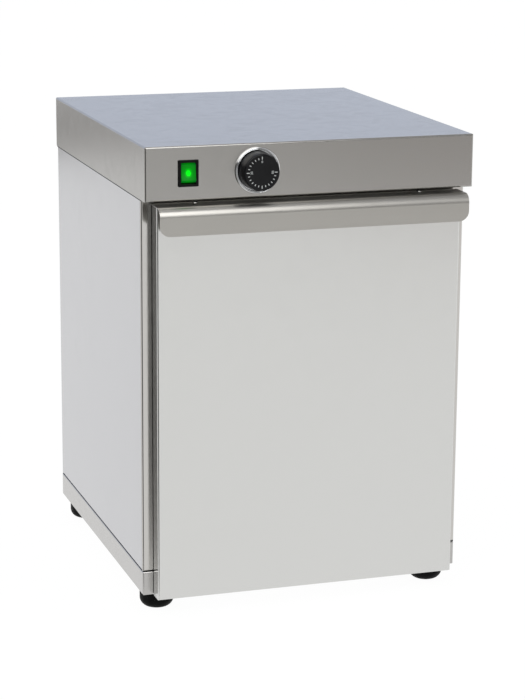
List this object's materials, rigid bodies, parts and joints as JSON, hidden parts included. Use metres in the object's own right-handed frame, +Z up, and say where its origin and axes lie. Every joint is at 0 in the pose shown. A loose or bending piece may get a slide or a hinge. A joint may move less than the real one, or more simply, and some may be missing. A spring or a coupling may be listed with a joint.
{
  "type": "plate warmer cabinet",
  "caption": "Free-standing heated plate warmer: insulated stainless cabinet on rubber feet with a full-width pull handle, side-hinged door, wire shelves, lit switch and thermostat.",
  "frame": {"origin": "middle of the footprint box (handle front to cable gland end) on the surface that the feet stand on", "axes": "+X to the right of someone facing the door, -Y out of the door, +Z up"},
  "size_m": [0.4, 0.4778, 0.564],
  "materials": {
    "stainless_outer": "brushed, fine vertical grain",
    "stainless_side": "brushed, fine vertical grain",
    "stainless_frame": "brushed",
    "stainless_plinth": "brushed",
    "stainless_liner": "brushed, satin",
    "stainless_door": "brushed, very fine grain, nearly even",
    "stainless_handle": "brushed, glossy along its rolled nose",
    "galvanised_sheet": "zinc coated, dull spangle",
    "mineral_wool": "matted fibre slab",
    "element_sheath": "dark oxidised sheath",
    "thermostat_ceramic": "moulded, matte",
    "copper_bulb": "drawn copper, dull",
    "chrome_ring": "polished",
    "black_plastic": "moulded, semi-gloss",
    "terminal_ceramic": "glazed steatite",
    "lead_sleeve": "woven glass sleeve",
    "black_nylon": "moulded nylon",
    "foot_rubber": "moulded rubber, matte",
    "zinc_fixings": "bright zinc",
    "steel_pin": "ground",
    "magnet_case": "moulded",
    "bright_screws": "polished pan heads",
    "silicone_gasket": "silicone, matte",
    "white_nylon": "moulded nylon",
    "knob_black": "moulded, satin",
    "green_lens": "clear green, lit from behind",
    "chrome_wire": "bright plated wire"
  },
  "bodies": {
    "cabinet": {"top_cover": "stainless_outer", "left_side_panel": "stainless_side", "right_side_panel": "stainless_side", "back_panel": "stainless_side", "front_frame": "stainless_frame", "base_pan": "stainless_plinth", "control_deck": "galvanised_sheet", "liner": "stainless_liner", "insulation_left": "mineral_wool", "insulation_right": "mineral_wool", "insulation_back": "mineral_wool", "insulation_top": "mineral_wool", "insulation_base": "mineral_wool", "shelf_runner_left": "stainless_liner", "shelf_runner_right": "stainless_liner", "heating_element": "element_sheath", "element_brackets": "galvanised_sheet", "element_cover": "stainless_liner", "thermostat_body": "thermostat_ceramic", "thermostat_bulb": "copper_bulb", "capillary_tube": "copper_bulb", "bulb_clip": "galvanised_sheet", "knob_ring": "chrome_ring", "switch_housing": "black_plastic", "terminal_block": "terminal_ceramic", "wiring": "lead_sleeve", "cable_gland": "black_nylon", "gland_nut": "black_nylon", "foot_front_left": "foot_rubber", "foot_front_right": "foot_rubber", "foot_rear_left": "foot_rubber", "foot_rear_right": "foot_rubber", "foot_washers": "zinc_fixings", "foot_screws": "zinc_fixings", "foot_nuts": "zinc_fixings", "upper_hinge_plate": "galvanised_sheet", "lower_hinge_plate": "galvanised_sheet", "upper_hinge_pin": "steel_pin", "lower_hinge_pin": "steel_pin", "door_magnet": "magnet_case", "cover_screws": "bright_screws", "back_screws": "bright_screws", "thermostat_screws": "zinc_fixings"},
    "door": {"door_skin": "stainless_door", "door_inner_panel": "stainless_liner", "door_insulation": "mineral_wool", "door_gasket": "silicone_gasket", "door_handle": "stainless_handle", "handle_screws": "bright_screws", "upper_hinge_bush": "white_nylon", "lower_hinge_bush": "white_nylon", "strike_plate": "galvanised_sheet", "inner_panel_screws": "bright_screws"},
    "knob": {"thermostat_knob": "knob_black", "thermostat_shaft": "steel_pin"},
    "rocker": {"switch_rocker": "green_lens"},
    "lower_rack": {"lower_shelf": "chrome_wire"},
    "upper_rack": {"upper_shelf": "chrome_wire"}
  },
  "joints": [
    {"name": "door_hinge", "type": "hinge", "parent": "cabinet", "child": "door", "pos_m": [0.1793, -0.2099, 0.2596], "axis": [0, 0, 1], "range_deg": [0, 105]},
    {"name": "knob_turn", "type": "hinge", "parent": "cabinet", "child": "knob", "pos_m": [-0.067, -0.2179, 0.5325], "axis": [0, 1, 0], "range_deg": [0, 270]},
    {"name": "rocker_tilt", "type": "hinge", "parent": "cabinet", "child": "rocker", "pos_m": [-0.149, -0.2129, 0.5325], "axis": [1, 0, 0], "range_deg": [0, 16]},
    {"name": "lower_rack_slide", "type": "slide", "parent": "cabinet", "child": "lower_rack", "axis": [0, -1, 0], "range_m": [0, 0.033]},
    {"name": "upper_rack_slide", "type": "slide", "parent": "cabinet", "child": "upper_rack", "axis": [0, -1, 0], "range_m": [0, 0.033]}
  ]
}
